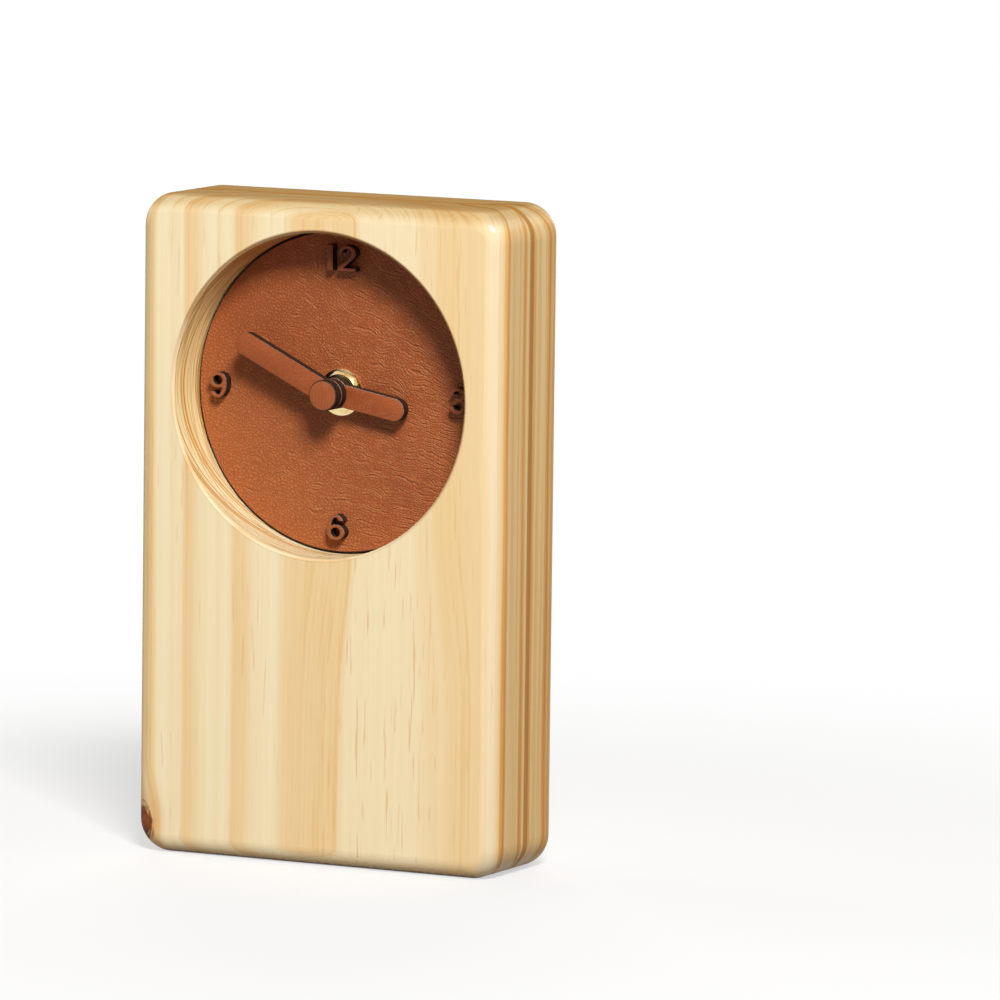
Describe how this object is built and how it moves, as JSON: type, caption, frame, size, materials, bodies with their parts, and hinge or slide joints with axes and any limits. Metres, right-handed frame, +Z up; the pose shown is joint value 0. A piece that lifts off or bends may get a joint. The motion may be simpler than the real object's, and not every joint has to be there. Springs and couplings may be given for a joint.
{
  "type": "desk clock",
  "caption": "Upright desk clock of pine with a recessed round leather dial, raised leather-faced numerals and hands, and a geared quartz movement in its back.",
  "frame": {"origin": "middle of the base, on the surface it stands on, at the glue joint of the two boards", "axes": "+Z up, the dial faces -Y, +X to the right of someone who reads the dial"},
  "size_m": [0.11, 0.036, 0.18],
  "materials": {
    "pine": "satin",
    "burnt_ply": "matte",
    "dial_leather": "satin",
    "trim_leather": "satin",
    "brass": "polished",
    "case_plastic": "matte",
    "gear_plastic": "satin",
    "knob_plastic": "matte",
    "steel": "satin",
    "copper": "satin",
    "magnet": "matte",
    "circuit": "satin",
    "resin": "gloss",
    "battery": "satin"
  },
  "bodies": {
    "root": {"front_board": "pine", "back_board": "pine", "dial_base": "burnt_ply", "dial_leather": "dial_leather", "numeral_12_base": "burnt_ply", "numeral_12_leather": "trim_leather", "numeral_3_base": "burnt_ply", "numeral_3_leather": "trim_leather", "numeral_6_base": "burnt_ply", "numeral_6_leather": "trim_leather", "numeral_9_base": "burnt_ply", "numeral_9_leather": "trim_leather", "washer": "brass", "hex_nut": "brass", "threaded_bush": "brass", "front_case": "case_plastic", "rear_cover": "case_plastic", "gear_plate": "gear_plastic", "bridge": "gear_plastic", "stator": "steel", "coil_core": "steel", "coil_bobbin": "gear_plastic", "coil_winding": "copper", "circuit_board": "circuit", "timer_chip": "resin", "quartz_crystal": "steel", "contact_positive": "steel", "contact_negative": "steel"},
    "minute": {"minute_hand_base": "burnt_ply", "minute_hand_leather": "trim_leather", "minute_hand_bush": "brass", "hub_cap_base": "burnt_ply", "hub_cap_leather": "trim_leather", "minute_arbor": "gear_plastic"},
    "hour": {"hour_hand_base": "burnt_ply", "hour_hand_leather": "trim_leather", "hour_hand_bush": "brass", "hour_wheel": "gear_plastic"},
    "motion": {"motion_wheel": "gear_plastic"},
    "setting": {"setting_stem": "knob_plastic", "setting_knob": "knob_plastic"},
    "centre": {"centre_wheel": "gear_plastic"},
    "third": {"third_wheel": "gear_plastic"},
    "second": {"second_wheel": "gear_plastic"},
    "fifth": {"fifth_wheel": "gear_plastic"},
    "rotor": {"rotor_magnet": "magnet", "rotor_arbor": "gear_plastic"},
    "battery": {"battery_cell": "battery"}
  },
  "joints": [
    {"name": "minute_hand_turn", "type": "hinge", "parent": "root", "child": "minute", "pos_m": [0, 0, 0.1275], "axis": [0, 1, 0], "continuous": true},
    {"name": "hour_hand_turn", "type": "hinge", "parent": "root", "child": "hour", "pos_m": [0, 0, 0.1275], "axis": [0, 1, 0], "continuous": true},
    {"name": "motion_wheel_turn", "type": "hinge", "parent": "root", "child": "motion", "pos_m": [-0.00831, 0, 0.1323], "axis": [0, 1, 0], "continuous": true},
    {"name": "setting_knob_turn", "type": "hinge", "parent": "root", "child": "setting", "pos_m": [-0.01777, 0, 0.13063], "axis": [0, 1, 0], "continuous": true},
    {"name": "rotor_turn", "type": "hinge", "parent": "root", "child": "rotor", "pos_m": [0.00553, 0, 0.14212], "axis": [0, 1, 0], "continuous": true},
    {"name": "fifth_wheel_turn", "type": "hinge", "parent": "root", "child": "fifth", "pos_m": [0.01063, 0, 0.14212], "axis": [0, 1, 0], "continuous": true},
    {"name": "second_wheel_turn", "type": "hinge", "parent": "root", "child": "second", "pos_m": [0.01343, 0, 0.13727], "axis": [0, 1, 0], "continuous": true},
    {"name": "third_wheel_turn", "type": "hinge", "parent": "root", "child": "third", "pos_m": [0.01055, 0, 0.12936], "axis": [0, 1, 0], "continuous": true},
    {"name": "centre_wheel_turn", "type": "hinge", "parent": "root", "child": "centre", "pos_m": [0, 0, 0.1275], "axis": [0, 1, 0], "continuous": true},
    {"name": "battery_lift", "type": "slide", "parent": "root", "child": "battery", "axis": [0, 1, 0], "range_m": [0, 0.025]}
  ],
  "couplings": [
    {"joint": "hour_hand_turn", "follows": "minute_hand_turn", "ratio": 0.083333},
    {"joint": "motion_wheel_turn", "follows": "minute_hand_turn", "ratio": -0.33333},
    {"joint": "setting_knob_turn", "follows": "minute_hand_turn", "ratio": 1},
    {"joint": "fifth_wheel_turn", "follows": "rotor_turn", "ratio": -0.13333},
    {"joint": "second_wheel_turn", "follows": "rotor_turn", "ratio": 0.033333},
    {"joint": "third_wheel_turn", "follows": "rotor_turn", "ratio": -0.0044444},
    {"joint": "centre_wheel_turn", "follows": "rotor_turn", "ratio": 0.00055556}
  ]
}
